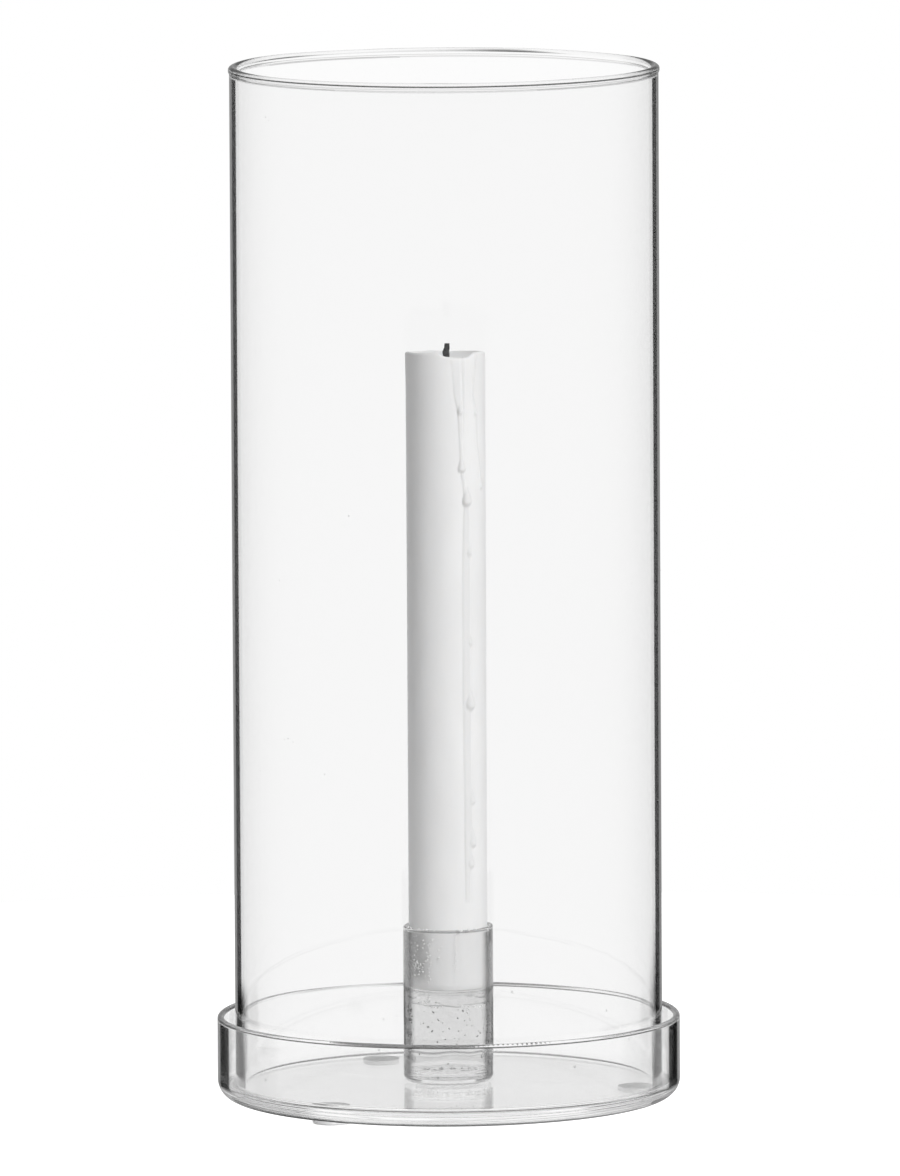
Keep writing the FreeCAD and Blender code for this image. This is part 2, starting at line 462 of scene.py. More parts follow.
def make_glass(name, clear, edge, smear, speck, bands, lines):
    """Clear glass with faint smears and specks, with painted shade where it is seen edge on and at its
    rims and corners.
    """
    wall_depth = 2.0
    foot_fade = 0.5
    speck_tone = 0.16
    smear_roughness = 0.05
    material, tree, shader = new_material(name)
    set_shader(shader, {"IOR": 1.5, "Transmission Weight": 1.0})
    marks = place_group(tree, handling_marks, {
        "Smear Scale": 28.0, "Smear Amount": smear, "Speck Scale": 260.0, "Speck Amount": speck})
    facing = add_node(tree, "ShaderNodeLayerWeight", inputs={"Blend": 0.5}).outputs["Facing"]
    spoke = add_node(tree, "ShaderNodeVectorMath", {"operation": "LENGTH"})
    tree.links.new(object_coords(tree, (1.0, 1.0, 0.0)), spoke.inputs[0])
    radius = spoke.outputs["Value"]
    level = part_place(tree)[2]

    # Painted shade: an upright wall greys as it turns edge on, in place of the dark surroundings that
    # the glass would show there.
    upright = math_node(tree, "GREATER_THAN", radius, (bands[0].radius - wall_depth) * MM)
    edge_shade = product(tree, upright, span(tree, facing, 0.35, 1.0))
    tone = mix_colour(tree, edge_shade, grey(clear), grey(edge))
    # Painted shade: dark bands on the outer wall where it is seen nearly edge on.
    for band in bands:
        rise = (band.low * MM, (band.low + foot_fade) * MM)
        fall = ((band.high - band.top_fade) * MM, band.high * MM)
        outer = math_node(tree, "GREATER_THAN", radius, band.radius * MM)
        band_shade = product(tree, outer, span(tree, level, *rise),
                        span(tree, level, *fall, 1.0, 0.0), span(tree, facing, *band.facing))
        tone = mix_colour(tree, band_shade, tone, grey(band.tone))
    # Painted shade: thin dark lines round rims, foot and corners.
    for line in lines:
        half = line.half_width * MM
        outside = math_node(tree, "GREATER_THAN", radius, line.radius * MM)
        off = math_node(tree, "SUBTRACT", level, line.level * MM)
        off = math_node(tree, "ABSOLUTE", off)
        on_line = product(tree, outside, span(tree, off, half / 2, half, 1.0, 0.0))
        tone = mix_colour(tree, on_line, tone, grey(line.tone))

    tree.links.new(mix_colour(tree, marks.outputs["Speck"], tone, grey(speck_tone)),
                   shader.inputs["Base Color"])
    tree.links.new(math_node(tree, "MULTIPLY", marks.outputs["Smear"], smear_roughness),
                   shader.inputs["Roughness"])
    return material


def make_candle_wax():
    """White wax, a little see-through, with soft mottling, specks of soot near the flame, darker
    runs, and painted shade low on the left, inside the cup, where the cup's wall shades the foot."""
    soot_levels = (0.196, 0.211)
    run_depths = (0.05, 0.22)
    # Turns, levels and edge waver of the painted shade on the left of the candle's foot, inside the
    # cup.
    shade_patch_turns = ((-2.4, -1.8), (-0.75, -0.28))
    shade_patch_levels = ((0.0335, 0.0380), (0.0478, 0.0498))
    shade_patch_waver = 0.12
    material, tree, shader = new_material("candle_wax")
    set_shader(shader, {"IOR": 1.44, "Subsurface Weight": 0.35,
                        "Subsurface Radius": (1.0, 0.95, 0.9), "Subsurface Scale": 0.0008,
                        "Specular IOR Level": 0.45})
    mottle = noise(tree, object_coords(tree, (1.0, 1.0, 0.35)), 90.0, 4.0, 0.55)
    tone = mix_colour(tree, span(tree, mottle, 0.3, 0.7), grey(0.845), grey(0.885))
    marks = place_group(tree, handling_marks, {
        "Smear Scale": 45.0, "Smear Amount": 1.0, "Speck Scale": 420.0, "Speck Amount": 1.0})
    x, y, z = part_place(tree)
    soot = product(tree, marks.outputs["Speck"], span(tree, z, *soot_levels))
    run = add_node(tree, "ShaderNodeAttribute", {"attribute_name": "wax_run"})
    tone = mix_colour(tree, span(tree, run.outputs["Fac"], *run_depths), tone, grey(0.81))
    # Painted shade: the left of the candle's foot inside the cup is greyed, as shade from the cup's
    # wall.
    turn = math_node(tree, "ARCTAN2", x, math_node(tree, "MULTIPLY", y, -1.0))
    turn = math_node(tree, "ADD", turn, math_node(tree, "MULTIPLY", mottle, shade_patch_waver))
    painted_shade = product(tree, between(tree, turn, *shade_patch_turns), between(tree, z, *shade_patch_levels))
    tone = mix_colour(tree, painted_shade, tone, grey(0.50))
    tree.links.new(mix_colour(tree, soot, tone, grey(0.16)), shader.inputs["Base Color"])
    tree.links.new(span(tree, marks.outputs["Smear"], 0.0, 1.0, 0.36, 0.50),
                   shader.inputs["Roughness"])
    add_relief(tree, shader, 70.0, 900.0, 0.25, 0.25, 0.0005)
    return material


def make_old_wax(name, low, high, transmission, smooth, dull, relief):
    """Old wax on the glass, mottled in tone from low to high and in gloss from smooth to dull."""
    material, tree, shader = new_material(name)
    set_shader(shader, {"IOR": 1.44, "Transmission Weight": transmission})
    coords = object_coords(tree)
    tone = mix_colour(tree, span(tree, noise(tree, coords, 700.0, 3.0), 0.35, 0.65),
                      grey(low), grey(high))
    tree.links.new(tone, shader.inputs["Base Color"])
    tree.links.new(span(tree, noise(tree, coords, 300.0, 2.0), 0.3, 0.7, smooth, dull),
                   shader.inputs["Roughness"])
    add_relief(tree, shader, 500.0, 2500.0, 0.4, relief, 0.0003)
    return material


def make_charred_wick():
    """Burnt cotton: black char with grey ash on its high threads."""
    material, tree, shader = new_material("charred_wick")
    set_shader(shader, {"Specular IOR Level": 0.2})
    coords = object_coords(tree, (1.0, 1.0, 0.5))
    ash = span(tree, noise(tree, coords, 2600.0, 4.0, 0.65), 0.55, 0.75)
    tree.links.new(mix_colour(tree, ash, grey(0.010, 0.08), grey(0.11, 0.04)),
                   shader.inputs["Base Color"])
    tree.links.new(span(tree, ash, 0.0, 1.0, 0.62, 0.95), shader.inputs["Roughness"])
    add_relief(tree, shader, 1500.0, 5000.0, 0.8, 0.9, 0.0004)
    return material


def make_clear_adhesive():
    material, tree, shader = new_material("clear_adhesive")
    set_shader(shader, {"IOR": 1.5, "Transmission Weight": 1.0})
    coords = object_coords(tree)
    haze = span(tree, noise(tree, coords, 350.0, 3.0), 0.45, 0.75)
    tree.links.new(mix_colour(tree, haze, grey(0.99), grey(0.93)), shader.inputs["Base Color"])
    tree.links.new(math_node(tree, "MULTIPLY", haze, 0.08), shader.inputs["Roughness"])
    return material


def make_pad_silicone():
    """Soft cloudy silicone, dark grey on its top face against the glass and nearly white below it."""
    face_levels = (0.00125, 0.00145)
    material, tree, shader = new_material("pad_silicone")
    set_shader(shader, {"IOR": 1.41, "Subsurface Weight": 0.3, "Subsurface Scale": 0.0003,
                        "Subsurface Radius": (1.0, 1.0, 1.0)})
    cloud = span(tree, noise(tree, object_coords(tree), 220.0, 3.0), 0.3, 0.7)
    body = mix_colour(tree, cloud, grey(0.90), grey(0.96))
    face = mix_colour(tree, cloud, grey(0.16), grey(0.24))
    upper = span(tree, part_place(tree)[2], *face_levels)
    tree.links.new(mix_colour(tree, upper, body, face), shader.inputs["Base Color"])
    tree.links.new(span(tree, cloud, 0.0, 1.0, 0.35, 0.55), shader.inputs["Roughness"])
    add_relief(tree, shader, 300.0, 2200.0, 0.3, 0.3, 0.0003)
    return material


# Each glass gets painted shade: a grey edge tone, near-black bands at its wall edges, and dark lines at
# its rims and foot.
chimney_glass = make_glass(
    "chimney_glass", clear=0.975, edge=0.86, smear=0.5, speck=0.0,
    bands=(PaintedShadeBand(radius=59.0, low=6.5, high=291.0, top_fade=0.5, facing=(0.745, 0.765), tone=0.01),
           PaintedShadeBand(radius=59.0, low=6.5, high=24.5, top_fade=13.0, facing=(0.69, 0.71), tone=0.03)),
    lines=(PaintedShadeLine(level=291.3, half_width=0.30, tone=0.02, radius=58.0),
           PaintedShadeLine(level=289.9, half_width=0.40, tone=0.60, radius=58.0),
           PaintedShadeLine(level=6.0, half_width=0.2, tone=0.35, radius=58.0)))
dish_glass = make_glass(
    "dish_glass", clear=0.995, edge=0.88, smear=0.6, speck=0.5,
    bands=(PaintedShadeBand(radius=64.0, low=5.5, high=24.0, top_fade=0.5, facing=(0.685, 0.705), tone=0.02),),
    lines=(PaintedShadeLine(level=24.15, half_width=0.26, tone=0.05, radius=63.0),
           PaintedShadeLine(level=1.5, half_width=1.3, tone=0.03, radius=59.5)))
cup_glass = make_glass(
    "cup_glass", clear=0.87, edge=0.45, smear=1.0, speck=1.0,
    bands=(PaintedShadeBand(radius=12.2, low=7.0, high=49.2, top_fade=0.5, facing=(0.30, 0.50), tone=0.06),),
    lines=(PaintedShadeLine(level=49.4, half_width=0.25, tone=0.35, radius=11.2),
           PaintedShadeLine(level=6.3, half_width=0.4, tone=0.4, radius=11.2)))
candle_wax = make_candle_wax()
film_wax = make_old_wax("film_wax", low=0.94, high=0.99, transmission=1.0,
                        smooth=0.0, dull=0.10, relief=0.08)
soot_wax = make_old_wax("soot_wax", low=0.16, high=0.45, transmission=0.0,
                        smooth=0.40, dull=0.80, relief=0.5)
crumb_wax = make_old_wax("crumb_wax", low=0.82, high=0.97, transmission=0.05,
                         smooth=0.25, dull=0.50, relief=0.5)
charred_wick = make_charred_wick()
clear_adhesive = make_clear_adhesive()
pad_silicone = make_pad_silicone()


# Glass pieces


def make_chimney():
    """Open tube with fire-polished rims, a little out of round as drawn glass is."""
    neck_depth = 2.6
    bead_depths = (2.3, 1.5)
    waver_depth = 6.0
    inner = chimney_radius - chimney_wall
    rim = chimney_wall / 2
    foot = chimney_foot_round
    rim_centre = (chimney_radius - rim, chimney_rim_z - rim)
    foot_z = chimney_foot_z + foot
    up = [(chimney_radius, foot_z), (chimney_radius, rim_centre[1])]
    down = [(inner, rim_centre[1]), (inner, foot_z)]
    section = rounded(inner + foot, foot_z, foot, 180, 270, 6)
    section += rounded(chimney_radius - foot, foot_z, foot, 270, 360, 6)
    neck = chimney_rim_z - neck_depth
    section += [beside(up[0], up[1])] + straight(up[0], (chimney_radius, neck), 60)
    section += straight((chimney_radius, neck), up[1], 12)
    section += rounded(rim_centre[0], rim_centre[1], rim, 0, 180, 20)
    section += straight(down[0], (inner, neck), 12)
    section += straight((inner, neck), down[1], 60)
    section += [beside(down[1], down[0])]
    outer_wave = Unevenness(11, 0.05, 70.0)
    inner_wave = Unevenness(12, 0.05, 60.0)
    rim_wave = Unevenness(13, 0.10, 1000.0)

    def warp(turn, radius, height):
        share = (radius - inner) / chimney_wall
        wave = share * outer_wave.at(turn, height) + (1.0 - share) * inner_wave.at(turn, height)
        near_rim = smooth_step(chimney_rim_z - waver_depth, chimney_rim_z, height)
        lift = rim_wave.at(turn, 0.0) * near_rim
        bead = rim_bead * smooth_step(chimney_rim_z - bead_depths[0],
                                      chimney_rim_z - bead_depths[1], height)
        return radius + wave + bead * (2.0 * share - 1.0), height + lift

    points, faces = turned(section, even_turns(288), warp)
    return new_piece("chimney_tube", points, faces, chimney_glass)


def cup_section(radius, wall, bottom, floor, rim_height, corner, fillet, rim_steps):
    """Half section of a flat-bottomed vessel with rounded corners and a full-round rim."""
    rim = wall / 2
    turn_r = radius - corner
    flat_r = radius - wall - fillet
    rim_z = rim_height - rim
    outside = [(radius, bottom + corner), (radius, rim_z)]
    inside = [(radius - wall, rim_z), (radius - wall, floor + fillet)]
    section = [(0.0, bottom)] + straight((0.0, bottom), (turn_r, bottom), 4)
    section += [beside((turn_r, bottom), (0.0, bottom))]
    section += rounded(turn_r, bottom + corner, corner, -90, 0, 14)
    section += [beside(outside[0], outside[1])] + straight(outside[0], outside[1], 12)
    section += [beside(outside[1], outside[0])]
    section += rounded(radius - rim, rim_z, rim, 0, 180, rim_steps)
    section += [beside(inside[0], inside[1])] + straight(inside[0], inside[1], 12)
    section += [beside(inside[1], inside[0])]
    section += rounded(flat_r, floor + fillet, fillet, 0, -90, 12)
    section += [beside((flat_r, floor), (0.0, floor))]
    section += straight((flat_r, floor), (0.0, floor), 4) + [(0.0, floor)]
    return section


def make_dish():
    """Pressed dish with a thick floor and a rounded foot."""
    section = cup_section(dish_radius, dish_wall, dish_bottom_z, dish_floor_z, dish_rim_z,
                          dish_corner, dish_inner_fillet, 16)
    outer_wave = Unevenness(21, 0.04, 30.0)
    inner_wave = Unevenness(22, 0.05, 30.0)
    rim_wave = Unevenness(23, 0.08, 1000.0)
    floor_mid = (dish_floor_z + dish_bottom_z) / 2
    waver_depth = 6.0
    dimple_share = 0.6
    flat_under_cup = (14.0, 24.0)

    def warp(turn, radius, height):
        wall = smooth_step(dish_radius - 8.0, dish_radius - 4.0, radius)
        outer = radius > dish_radius - dish_wall / 2
        wave = np.where(outer, outer_wave.at(turn, height), inner_wave.at(turn, height)) * wall
        lift = rim_wave.at(turn, 0.0) * smooth_step(dish_rim_z - waver_depth, dish_rim_z, height)
        above = (height > floor_mid) & (wall < 1.0)
        dimple = inner_wave.at(turn, radius) * dimple_share * (1.0 - wall) * above
        dimple = dimple * smooth_step(*flat_under_cup, radius)
        return radius + wave, height + lift + np.minimum(dimple, 0.0)

    points, faces = turned(section, even_turns(288), warp)
    return new_piece("dish", points, faces, dish_glass)


def make_cup():
    """Small blown cup, its rim and wall a little uneven."""
    section = cup_section(cup_radius, cup_wall, cup_bottom_z, cup_floor_z, cup_rim_z,
                          cup_corner, cup_inner_fillet, 14)
    outer_wave = Unevenness(31, 0.03, 9.0)
    inner_wave = Unevenness(32, 0.08, 5.0)
    rim_wave = Unevenness(33, 0.16, 1000.0)

    def warp(turn, radius, height):
        wall = smooth_step(cup_radius - 3.0, cup_radius - 1.6, radius)
        wall = wall * smooth_step(cup_floor_z, cup_floor_z + 6.0, height)
        outer = radius > cup_radius - cup_wall / 2
        wave = np.where(outer, outer_wave.at(turn, height), inner_wave.at(turn, height)) * wall
        lift = rim_wave.at(turn, 0.0) * smooth_step(cup_rim_z - 5.0, cup_rim_z, height)
        return radius + wave, height + lift

    points, faces = turned(section, even_turns(160), warp)
    return new_piece("cup", points, faces, cup_glass)


# Candle pieces


def ribbon_height(turn, height, stations):
    """Thickness of a ribbon of wax on the candle's side."""
    mid, levels, half, thick = np.array(stations).T
    across = np.radians(turn - np.interp(height, levels, mid)) * candle_radius
    width = np.interp(height, levels, half)
    profile = np.clip(1.0 - np.abs(across / width) ** 3.0, 0.0, 1.0) ** 0.6
    below = np.clip((height - levels[0]) / half[0], 0.0, 1.0)
    above = np.clip((levels[-1] + 1.0 - height) / 1.0, 0.0, 1.0)
    return np.interp(height, levels, thick) * profile * np.sqrt(below) * above


def drop_height(turn, height, drop):
    """Thickness of a drop: round below, drawn out to a tail above."""
    mid, level, half, thick, tail = drop
    across = np.radians(turn - mid) * candle_radius
    rise = np.clip((height - level) / tail, 0.0, 1.0)
    width = half * (1.0 - rise) ** 0.75 + 1e-6
    down = np.clip((level - height) / half, 0.0, None)
    inside = np.clip(1.0 - (across / width) ** 2 - down ** 2, 0.0, 1.0)
    return thick * np.sqrt(inside) * (1.0 - rise) ** 0.8


def rim_shift(turn):
    """How far the burnt rim stands above its mean height: high in front, cut by the pour lip."""
    lip = smooth_step(-15.0, 1.0, turn) * smooth_step(51.0, 29.0, turn)
    waver = 0.10 * np.cos(np.radians(5.0 * turn + 40.0)) + 0.06 * np.cos(np.radians(9.0 * turn))
    return -0.2 + 0.8 * np.cos(np.radians(turn)) - 1.3 * lip + waver


def candle_turns():
    """Close together where the wax ran, wider elsewhere."""
    near = np.arange(-8.0, 70.0, 0.75)
    far = np.linspace(70.0, 352.0, 120, endpoint=False)
    return np.concatenate((near, far))


def make_candle():
    """Burnt candle: side with its wax runs, softened rim, pour lip and melted hollow."""
    soft_from = 203.0
    soft_full = 211.0
    rim_round = 0.7
    hollow_depth = candle_rim_z - 0.25 - hollow_floor_z
    side_levels = np.concatenate((np.linspace(candle_foot_z + candle_chamfer, 54.0, 16),
                                  np.arange(54.5, 209.0, 0.5)))
    section = [(0.0, candle_foot_z), (4.0, candle_foot_z)]
    section += [(candle_radius - candle_chamfer - 0.1, candle_foot_z),
                (candle_radius - candle_chamfer, candle_foot_z)]
    section += [(candle_radius, level) for level in side_levels]
    section += [(candle_radius, level) for level in (209.4, 209.9, 210.3, 210.7, 211.0)]
    section += rounded(candle_radius - rim_round, candle_rim_z - rim_round, rim_round, 0, 100, 8)
    rim_count = len(section)
    hollow = [(hollow_radius * share, share) for share in np.linspace(1.0, 0.08, 22)]
    section += [(radius, hollow_floor_z + hollow_depth * share ** 2.4) for radius, share in hollow]
    section.append((0.0, hollow_floor_z))
    in_hollow = np.arange(len(section) - 2) >= rim_count - 1
    wave = Unevenness(41, 0.035, 25.0)
    melt_wave = Unevenness(42, 0.10, 6.0)
    thickness = []

    def warp(turn, radius, height):
        turn = np.where(turn > 180.0, turn - 360.0, turn)
        layers = [ribbon_height(turn, height, stations) for stations in ribbons]
        layers += [drop_height(turn, height, drop) for drop in wax_drops]
        wax = sum(layer ** 4 for layer in layers) ** 0.25 * ~in_hollow
        thickness.append(wax)
        on_side = smooth_step(candle_radius - 0.9, candle_radius - 0.2, radius)
        softened = melt_wave.at(turn, height) * smooth_step(soft_from, soft_full, height)
        out = radius + (wave.at(turn, height) + softened + wax) * on_side * ~in_hollow
        side_share = smooth_step(soft_from, candle_rim_z - 0.6, height)
        share = np.where(in_hollow, (radius / hollow_radius) ** 2.0, side_share)
        return out, height + rim_shift(turn) * share

    points, faces = turned(section, candle_turns(), warp)
    piece = new_piece("burnt_candle", points, faces, candle_wax)
    run = piece.data.attributes.new("wax_run", "FLOAT", "POINT")
    run.data.foreach_set("value", np.append(thickness[0].ravel(), (0.0, 0.0)))
    return piece


def make_wick():
    """Three twisted threads, charred rough and bent where they stand out of the wax."""
    char_levels = (208.6, 210.5)
    twist = 55.0
    sideways = 0.15
    levels = np.concatenate(([candle_foot_z], np.linspace(206.0, wick_top_z, 44)))
    section = [(0.0, candle_foot_z - 0.01)] + [(wick_radius, level) for level in levels]
    section += [(wick_radius * 0.55, wick_top_z + 0.02), (0.0, wick_top_z - 0.1)]
    draw = random.Random(51)
    rough = np.array([[draw.uniform(-1.0, 1.0) for _ in range(len(levels) + 1)]
                      for _ in range(30)])

    def warp(turn, radius, height):
        burnt = smooth_step(*char_levels, height)
        threads = np.cos(np.radians(3.0 * (turn - twist * (height - candle_foot_z))))
        swell = 1.0 + burnt * 0.16 * np.sin((height - 209.0) * 0.9)
        out = radius * swell * (1.0 + 0.14 * threads * (0.4 + 0.6 * burnt))
        out = out + rough * 0.09 * burnt
        return out, height + rough * 0.05 * burnt

    points, faces = turned(section, even_turns(30), warp)
    points = np.array(points)
    stand = np.clip((points[:, 2] - hollow_floor_z) / (wick_top_z - hollow_floor_z), 0.0, 1.0)
    points[:, 0] += wick_lean * stand ** 1.6
    points[:, 1] -= sideways * np.sin(stand * 3.0)
    return new_piece("burnt_wick", points, faces, charred_wick)


# Old wax, soot and dust

upward = (0.0, 0.0, 1.0)


def blob_in_cup(points, faces, turn, height, size, flat, draw):
    """Adds one small lump that lies on the inside of the cup's wall."""
    centre = on_wall(cup_bore + 0.02, turn, height)
    blob(points, faces, centre, on_wall(-1.0, turn, 0.0), size, flat, draw)


def make_wax_ring():
    """Thin collar of old wax under the candle's foot, with a ragged lower edge."""
    land = 0.9
    film = 0.07
    inner = ring_radius - film
    top = candle_foot_z - 0.02
    section = [(ring_radius, ring_low_z)]
    section += straight((ring_radius, ring_low_z), (ring_radius, top), 8)
    section += [(ring_radius, top), (ring_radius - land, top), (ring_radius - land, top - 0.12)]
    section += [(inner - 0.15, top - 0.3), (inner, top - 0.5)]
    section += straight((inner, top - 0.5), (inner, ring_low_z + 0.35), 6)
    section += [(inner, ring_low_z + 0.3), (inner - 0.06, ring_low_z + 0.15)]
    ragged = Unevenness(61, 0.22, 1000.0)
    notches = Unevenness(62, 0.16, 1000.0)

    def warp(turn, radius, height):
        low = smooth_step(top - 0.8, ring_low_z, height)
        return radius, height + low * (ragged.at(turn, 0.0) + notches.at(4.0 * turn, 0.0))

    points, faces = turned(section, even_turns(220), warp)
    return new_piece("old_wax_ring", points, faces, film_wax)


def make_cup_crumbs():
    """Crumbs on the cup's rim and in a broken line under the candle's foot."""
    draw = random.Random(71)
    rim_places = (-70.0, -55.0, -30.0, 30.0, 160.0)
    lines = ((-24.0, 28.3, 8), (18.0, 28.4, 10), (46.0, 28.0, 6), (-40.0, 29.4, 5))
    line_step = 2.2
    flat = 0.6
    points = []
    faces = []
    for _ in range(34):
        turn = draw.choice(rim_places) + draw.uniform(-16.0, 16.0)
        radius = cup_radius - cup_wall * draw.uniform(0.2, 0.9)
        centre = on_wall(radius, turn, cup_rim_z + draw.uniform(-0.15, 0.1))
        blob(points, faces, centre, upward, draw.uniform(0.16, 0.5), flat, draw)
    for turn, height, count in lines:
        for k in range(count):
            place = turn + k * line_step + draw.uniform(-0.6, 0.6)
            level = height + draw.uniform(-0.2, 0.2)
            blob_in_cup(points, faces, place, level, draw.uniform(0.16, 0.34), flat, draw)
    return new_piece("cup_wax_crumbs", points, faces, crumb_wax)


def make_cup_drops():
    """White drops inside the cup's wall, most of them high on the left and in broken runs."""
    draw = random.Random(81)
    points = []
    faces = []
    places = [(draw.gauss(-50.0, 13.0), draw.uniform(36.0, 48.0), draw.uniform(0.14, 0.34))
              for _ in range(80)]
    # Each run: turn, top, bottom and largest half width of its drops.
    runs = ((-27.0, 47.0, 35.0, 0.30), (9.0, 49.0, 38.0, 0.20), (-84.0, 48.5, 14.0, 0.40),
            (-76.0, 44.0, 11.5, 0.36), (83.0, 48.5, 12.0, 0.40), (75.0, 46.0, 13.0, 0.36),
            (150.0, 48.0, 21.0, 0.34), (-150.0, 48.0, 25.0, 0.30))
    for turn, top, low, half in runs:
        height = top
        while height > low:
            size = half * draw.uniform(0.35, 1.0)
            places.append((turn + draw.gauss(0.0, 1.6), height, size))
            height -= size * draw.uniform(1.2, 5.0)
    for turn, height, size in places:
        blob_in_cup(points, faces, turn, height, size, 0.5, draw)
    return new_piece("cup_wax_drops", points, faces, crumb_wax)


def make_cup_soot():
    """Dark specks inside the cup's wall and in the wax on its floor."""
    draw = random.Random(85)
    points = []
    faces = []
    places = [(draw.uniform(-180.0, 180.0), draw.uniform(12.0, 31.0),
               0.10 + 0.26 * draw.random() ** 2) for _ in range(120)]
    places += [(draw.gauss(-66.0, 6.0), draw.uniform(13.0, 31.0), draw.uniform(0.20, 0.50))
               for _ in range(34)]
    places += [(draw.gauss(68.0, 6.0), draw.uniform(11.0, 30.0), draw.uniform(0.18, 0.42))
               for _ in range(26)]
    for turn, height, size in places:
        blob_in_cup(points, faces, turn, height, size, 0.5, draw)
    for _ in range(60):
        x = draw.uniform(-8.0, 8.0)
        y = draw.uniform(-5.0, 3.0)
        centre = (x, y, cup_floor_z + 0.1)
        blob(points, faces, centre, upward, draw.uniform(0.14, 0.40), 0.5, draw)
    return new_piece("cup_soot", points, faces, soot_wax)


def make_cup_smear():
    """Crumbly smear of wax across the cup's floor that climbs its wall on the right."""
    draw = random.Random(91)
    floor_edge = cup_bore - cup_inner_fillet
    climb_count = 46
    flat = 0.45
    points = []
    faces = []
    for _ in range(230):
        along = draw.random()
        x = -8.6 + 18.6 * along
        y = -4.4 + 6.0 * along ** 1.4
        y += draw.gauss(0.0, 0.35 + 0.5 * (1.0 - along))
        y -= 0.5 * abs(draw.gauss(0.0, 1.0))
        over = min(max(0.0, math.hypot(x, y) - floor_edge), cup_inner_fillet * 0.96)
        z = cup_floor_z + cup_inner_fillet - math.sqrt(cup_inner_fillet ** 2 - over ** 2)
        size = draw.uniform(0.25, 0.75) * (1.2 - 0.4 * along)
        blob(points, faces, (x, y, z), upward, size, flat, draw)
    for k in range(climb_count):
        share = k / (climb_count - 1)
        turn = 104.0 - 16.0 * share + draw.uniform(-1.5, 1.5)
        height = 10.8 + 5.0 * share ** 1.3 + draw.uniform(-0.2, 0.2)
        blob_in_cup(points, faces, turn, height, draw.uniform(0.2, 0.45), flat, draw)
    return new_piece("cup_floor_smear", points, faces, crumb_wax)


def make_chimney_specks():
    """A few specks of dust and wax on the chimney."""
    draw = random.Random(101)
    points = []
    faces = []
    # Each speck: turn, height and half width.
    places = [(-26.6, 171.7, 0.30), (-47.5, 108.0, 0.22), (-45.5, 107.2, 0.16), (-49.0, 107.6, 0.14),
              (-55.5, 281.0, 0.22), (-54.0, 280.2, 0.14), (-28.0, 168.9, 0.12), (88.0, 150.0, 0.22)]
    places += [(draw.uniform(60.0, 330.0), draw.uniform(40.0, 280.0), draw.uniform(0.08, 0.2))
               for _ in range(14)]
    for turn, height, size in places:
        outward = on_wall(1.0, turn, 0.0)
        blob(points, faces, on_wall(chimney_radius + 0.05, turn, height), outward, size, 0.5, draw)
    return new_piece("chimney_specks", points, faces, crumb_wax)


# Every piece rides on its body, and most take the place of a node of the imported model.

glass_pieces = []
for make, node, body in ((make_chimney, "chimney", "chimney"), (make_dish, "base_dish", "base"),
                         (make_cup, "candle_cup", "base")):
    piece = make()
    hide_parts(node)
    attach(piece, body)
    glass_pieces.append(piece)

for make, node, body, slot in ((make_candle, "candle", "candle", "candle_wax"),
                               (make_wick, "wick", "candle", "charred_wick"),
                               (make_wax_ring, "wax_ring", "base", "candle_wax")):
    piece = make()
    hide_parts(node)
    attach(piece, body)
    if node == "wax_ring":
        glass_pieces.append(piece)
    else:
        piece.visible_glossy = False

for make, body in ((make_cup_crumbs, "base"), (make_cup_drops, "base"), (make_cup_soot, "base"),
                   (make_cup_smear, "base"), (make_chimney_specks, "chimney")):
    piece = make()
    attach(piece, body)

for name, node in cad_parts.items():
    if name.startswith("foot_pad"):
        node.data.materials.clear()
        node.data.materials.append(pad_silicone)
    if name == "cup_bond":
        node.data.materials.clear()
        node.data.materials.append(clear_adhesive)
        glass_pieces.append(node)


# Stage, light and camera

# Dark cards that the glass mirrors. A pair of them stands at both sides of the direction that a
# view looks in: that direction in degrees from +X, and how steeply its sight lines may fall.
card_pairs = ((90.0, -0.19, 0.19), (180.0, -0.085, 0.085), (315.0, 0.19, 0.34), (135.0, 0.34, 1.1))
card_near_side = 18.5
card_near_side_low = 18.0
card_far_side = 37.0
card_far_side_low = 40.0
card_side_shift = (0.1385, 0.1425)
card_edge = 1.2
card_far_fade = 4.0
card_view_fade = 0.012

# Soft dark bars that also show through the glass. Rising sight lines meet the bar behind and the
# bars at the sides; the bars low down darken the foot of the chimney in the dish.
back_bar_rise = (0.11, 0.14)
back_bar_fall = (0.25, 0.29)
back_bar_dark = 0.32
back_bar_side = (14.0, 20.0)
side_bar_rise = (0.01, 0.04)
side_bar_fall = (0.24, 0.30)
side_bar_dark = 0.9
side_bar_near = (24.0, 30.0)
side_bar_far = (58.0, 64.0)
foot_bar_rise = (0.1385, 0.1400)
foot_bar_fall = (0.1470, 0.1485)

# Tones of the surroundings, by what sees them
white = 1.0
lit_room = 0.29
mirrored_room = 0.40
dark_card = 0.02
level_card = 0.30
level_sight = (0.076, 0.084)
floor_glow = 0.62


def make_floor():
    """Plain pale table top: a disc much wider than the object, not shown by the glass."""
    points, faces = turned([(0.0, -4.0), (440.0, 0.0), (0.0, 0.0)], even_turns(96))
    material, tree, shader = new_material("pale_floor")
    set_shader(shader, {"Roughness": 0.9, "Specular IOR Level": 0.0,
                        "Emission Color": (1.0, 1.0, 1.0, 1.0)})
    tone = span(tree, noise(tree, object_coords(tree), 9.0), 0.3, 0.7)
    tree.links.new(mix_colour(tree, tone, grey(0.84), grey(0.86)), shader.inputs["Base Color"])
    light = add_node(tree, "ShaderNodeLightPath")
    seen = largest(tree, light.outputs["Is Camera Ray"], light.outputs["Is Glossy Ray"],
                   light.outputs["Is Transmission Ray"])
    tree.links.new(math_node(tree, "MULTIPLY", seen, floor_glow), shader.inputs["Emission Strength"])
    floor = new_piece("floor", points, faces, material)
    floor.data.shade_flat()
    floor.visible_transmission = False
    floor.visible_glossy = False


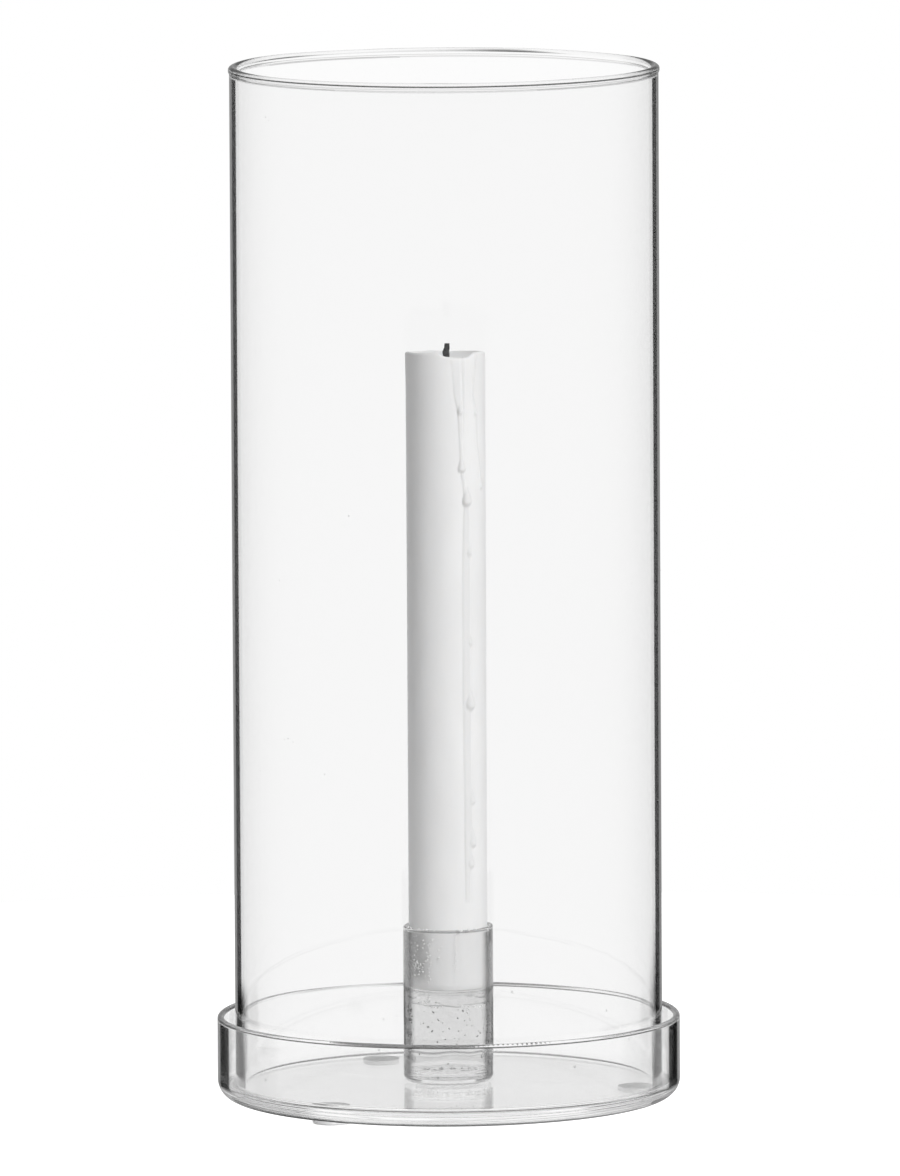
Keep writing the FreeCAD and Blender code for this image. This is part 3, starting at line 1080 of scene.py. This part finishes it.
def turn_from(tree, azimuth, middle):
    """Degrees between a direction's azimuth and a middle one, to either side."""
    off = math_node(tree, "SUBTRACT", azimuth, math.radians(middle))
    off = math_node(tree, "ARCCOSINE", math_node(tree, "COSINE", off))
    return math_node(tree, "DEGREES", off)


def make_world():
    """White all round for the camera and through the glass, apart from a few soft dark bars. The
    glass mirrors a grey room with dark cards in it."""
    world = bpy.data.worlds.new("studio")
    scene.world = world
    world.use_nodes = True
    tree = world.node_tree
    background = tree.nodes["Background"]
    coords = add_node(tree, "ShaderNodeTexCoord")
    way = add_node(tree, "ShaderNodeSeparateXYZ")
    tree.links.new(coords.outputs["Generated"], way.inputs["Vector"])
    azimuth = math_node(tree, "ARCTAN2", way.outputs["Y"], way.outputs["X"])
    rising = way.outputs["Z"]
    falling = math_node(tree, "MULTIPLY", rising, -1.0)

    near = span(tree, falling, *card_side_shift, card_near_side, card_near_side_low)
    far = span(tree, falling, *card_side_shift, card_far_side, card_far_side_low)
    sides = [turn_from(tree, azimuth, middle) for middle, low, high in card_pairs]
    cards = []
    for side, (middle, low, high) in zip(sides, card_pairs):
        past = math_node(tree, "SUBTRACT", side, near)
        short = math_node(tree, "SUBTRACT", far, side)
        in_view = between(tree, falling, (low, low + card_view_fade), (high - card_view_fade, high))
        cards.append(product(tree, span(tree, past, -card_edge, card_edge),
                             span(tree, short, 0.0, card_far_fade), in_view))

    behind = span(tree, sides[0], *back_bar_side, 1.0, 0.0)
    back_bar = product(tree, between(tree, rising, back_bar_rise, back_bar_fall, back_bar_dark), behind)
    beside_view = between(tree, sides[0], side_bar_near, side_bar_far)
    side_bar = product(tree, between(tree, rising, side_bar_rise, side_bar_fall, side_bar_dark),
                       beside_view)
    foot_bar = product(tree, cards[0], between(tree, falling, foot_bar_rise, foot_bar_fall))
    bars = largest(tree, back_bar, side_bar, foot_bar)
    dark = largest(tree, bars, *cards)

    through = mix_colour(tree, bars, grey(white), grey(dark_card))
    steep = span(tree, math_node(tree, "ABSOLUTE", falling), *level_sight)
    card_tone = mix_colour(tree, steep, grey(level_card), grey(dark_card))
    mirrored = mix_colour(tree, dark, grey(mirrored_room), card_tone)
    light = add_node(tree, "ShaderNodeLightPath")
    colour = mix_colour(tree, light.outputs["Is Glossy Ray"], grey(lit_room), mirrored)
    colour = mix_colour(tree, light.outputs["Is Transmission Ray"], colour, through)
    colour = mix_colour(tree, light.outputs["Is Camera Ray"], colour, grey(white))
    tree.links.new(colour, background.inputs["Color"])


def make_lamp(name, size, power, distance, azimuth, elevation):
    """Large soft round lamp that the glass doesn't mirror; azimuth from the front to the right."""
    aim = Vector((0.0, 0.0, 0.13))
    lamp = bpy.data.lights.new(name, "AREA")
    lamp.shape = "DISK"
    lamp.size = size
    lamp.energy = power
    holder = bpy.data.objects.new(name, lamp)
    turn = math.radians(azimuth)
    rise = math.radians(elevation)
    away = Vector((math.sin(turn) * math.cos(rise), -math.cos(turn) * math.cos(rise),
                   math.sin(rise)))
    holder.location = aim + away * distance
    holder.rotation_euler = (-away).to_track_quat("-Z", "Y").to_euler()
    holder.visible_glossy = False
    holder.visible_transmission = False
    scene.collection.objects.link(holder)


def make_camera():
    """Long lens at the photograph's place: a little above, tilted a touch to one side."""
    tilt = math.radians(-0.3)
    camera = bpy.data.cameras.new("camera")
    camera.lens = 519.0
    camera.clip_end = 100.0
    holder = bpy.data.objects.new("camera", camera)
    stand = Vector((1.0, -4722.0, 696.5)) * MM
    aim = Vector((1.0, 0.0, 145.2)) * MM
    holder.location = stand
    look = (aim - stand).to_track_quat("-Z", "Y")
    holder.rotation_euler = (look @ Quaternion((0.0, 0.0, 1.0), tilt)).to_euler()
    scene.collection.objects.link(holder)
    scene.camera = holder


make_floor()
make_world()
make_lamp("key", size=0.8, power=14.6, distance=1.4, azimuth=35.0, elevation=30.0)
make_lamp("back_fill", size=0.6, power=7.0, distance=1.4, azimuth=186.0, elevation=25.0)
make_camera()

# Light reaches the candle straight through the glass, so that the wax is lit cleanly.
for piece in glass_pieces:
    piece.visible_shadow = False
    piece.visible_diffuse = False
scene.cycles.max_bounces = 40
scene.cycles.transmission_bounces = 40
scene.cycles.glossy_bounces = 24
scene.cycles.diffuse_bounces = 4
scene.view_settings.view_transform = "Standard"
